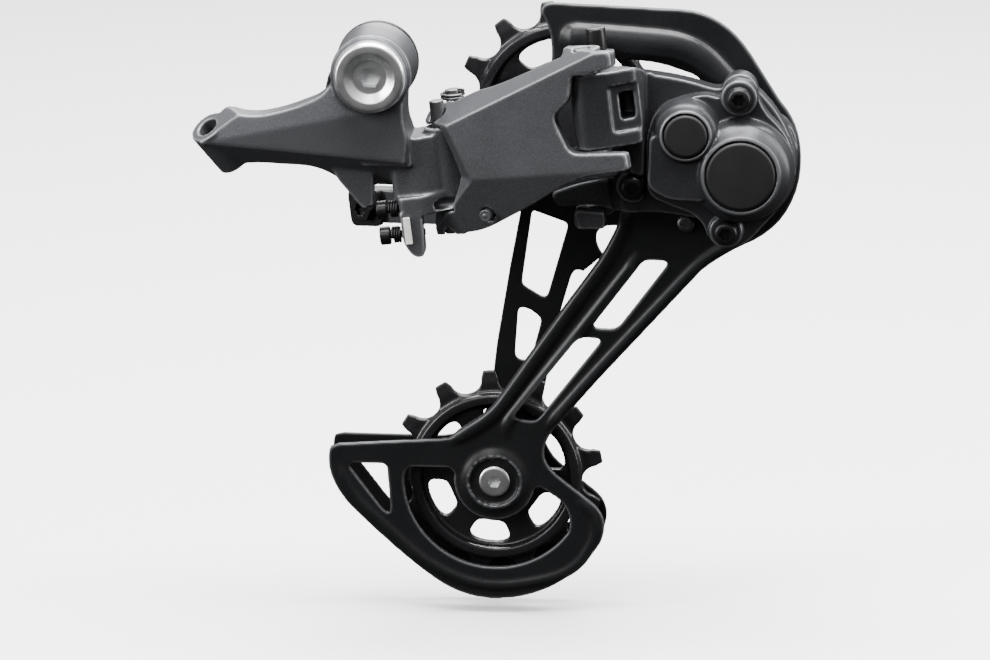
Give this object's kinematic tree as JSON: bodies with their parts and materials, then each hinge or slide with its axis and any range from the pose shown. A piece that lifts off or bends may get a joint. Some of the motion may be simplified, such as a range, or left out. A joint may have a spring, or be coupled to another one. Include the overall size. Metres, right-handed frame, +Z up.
{
  "type": "bicycle rear derailleur",
  "caption": "Bicycle rear derailleur with a long cage, a tilted parallelogram linkage, a clutch housing, toothed guide and tension pulleys and a chain guard.",
  "frame": {"origin": "on the axis of the hanger bolt, in the end face of the boss that rests on the bicycle frame's hanger", "axes": "+X forward along the bicycle, +Y inboard towards the wheel, +Z up"},
  "size_m": [0.1565, 0.0545, 0.1613],
  "materials": {
    "cast_grey": "satin dark grey with a fine metallic grain, over cast aluminium",
    "plate_grey": "satin anthracite over a forged aluminium plate",
    "black_steel": "black coated steel",
    "machined_steel": "turned bright steel",
    "white_plastic": "plain white moulded chip",
    "black_rubber": "matt black",
    "cap_plastic": "fine-grained dark grey",
    "bushing_bronze": "plain sintered bronze",
    "lever_grey": "satin mid grey",
    "pulley_plastic": "glossy black moulded resin"
  },
  "bodies": {
    "bracket": {"bracket_knuckle": "cast_grey", "hanger_bolt": "machined_steel", "hanger_stop_plate": "black_steel", "b_tension_screw": "black_steel", "limit_screw_low": "black_steel", "limit_screw_high": "black_steel", "limit_spring_low": "black_steel", "limit_spring_high": "black_steel", "limit_label": "white_plastic", "link_return_spring": "machined_steel"},
    "outer_link": {"outer_link": "cast_grey", "link_rivet": "machined_steel", "outer_pin_rear": "machined_steel", "outer_pin_front": "machined_steel"},
    "inner_link": {"inner_link": "cast_grey", "inner_pin_rear": "machined_steel", "inner_pin_front": "black_steel", "cable_clamp_bolt": "black_steel", "cable_clamp_plate": "black_steel"},
    "changer_knuckle": {"changer_knuckle": "cast_grey", "clutch_cover": "cast_grey", "cover_gasket": "black_rubber", "cover_screw_top": "black_steel", "cover_screw_bottom": "black_steel", "foot_screw": "black_steel", "large_cap": "cap_plastic", "small_cap": "cap_plastic", "pivot_bushing": "bushing_bronze", "cage_spring": "machined_steel", "one_way_sleeve": "machined_steel", "friction_band": "machined_steel"},
    "clutch_lever": {"clutch_lever": "lever_grey", "clutch_cam": "machined_steel"},
    "cage": {"outer_plate": "plate_grey", "inner_plate": "black_steel", "cage_axle": "machined_steel", "stop_screw": "black_steel", "guide_bushing": "machined_steel", "guide_bolt": "machined_steel", "guide_washer_outer": "black_steel", "guide_washer_inner": "black_steel", "tension_bushing": "machined_steel", "tension_bolt": "machined_steel", "tension_washer_outer": "black_steel", "tension_washer_inner": "black_steel"},
    "guide_pulley": {"guide_pulley": "pulley_plastic"},
    "tension_pulley": {"tension_pulley": "pulley_plastic"}
  },
  "joints": [
    {"name": "outer_link_swing", "type": "hinge", "parent": "bracket", "child": "outer_link", "pos_m": [0.01474, -0.011, 0.00181], "axis": [-0.1219, 0, 0.9925], "range_deg": [0, 54], "stiffness_Nm_per_rad": 0.3, "springref_deg": -34.38},
    {"name": "inner_link_swing", "type": "hinge", "parent": "bracket", "child": "inner_link", "pos_m": [0.01772, 0.002, 0.00217], "axis": [-0.1219, 0, 0.9925], "range_deg": [0, 54]},
    {"name": "knuckle_swing", "type": "hinge", "parent": "outer_link", "child": "changer_knuckle", "pos_m": [0.05439, -0.02398, 0.00668], "axis": [-0.1219, 0, 0.9925], "range_deg": [-54, 0]},
    {"name": "cage_swing", "type": "hinge", "parent": "changer_knuckle", "child": "cage", "pos_m": [0.0947, 0, -0.0239], "axis": [0, -1, 0], "range_deg": [0, 95], "stiffness_Nm_per_rad": 0.25, "springref_deg": -51.57},
    {"name": "clutch_lever_turn", "type": "hinge", "parent": "changer_knuckle", "child": "clutch_lever", "pos_m": [0.0806, 0, -0.0137], "axis": [0, -1, 0], "range_deg": [0, 18]},
    {"name": "guide_pulley_spin", "type": "hinge", "parent": "cage", "child": "guide_pulley", "pos_m": [0.0479, 0.009, -0.0137], "axis": [0, 1, 0], "continuous": true},
    {"name": "tension_pulley_spin", "type": "hinge", "parent": "cage", "child": "tension_pulley", "pos_m": [0.03, 0.009, -0.1133], "axis": [0, 1, 0], "continuous": true}
  ],
  "couplings": [
    {"joint": "inner_link_swing", "follows": "outer_link_swing", "ratio": 1},
    {"joint": "knuckle_swing", "follows": "outer_link_swing", "ratio": -1}
  ]
}
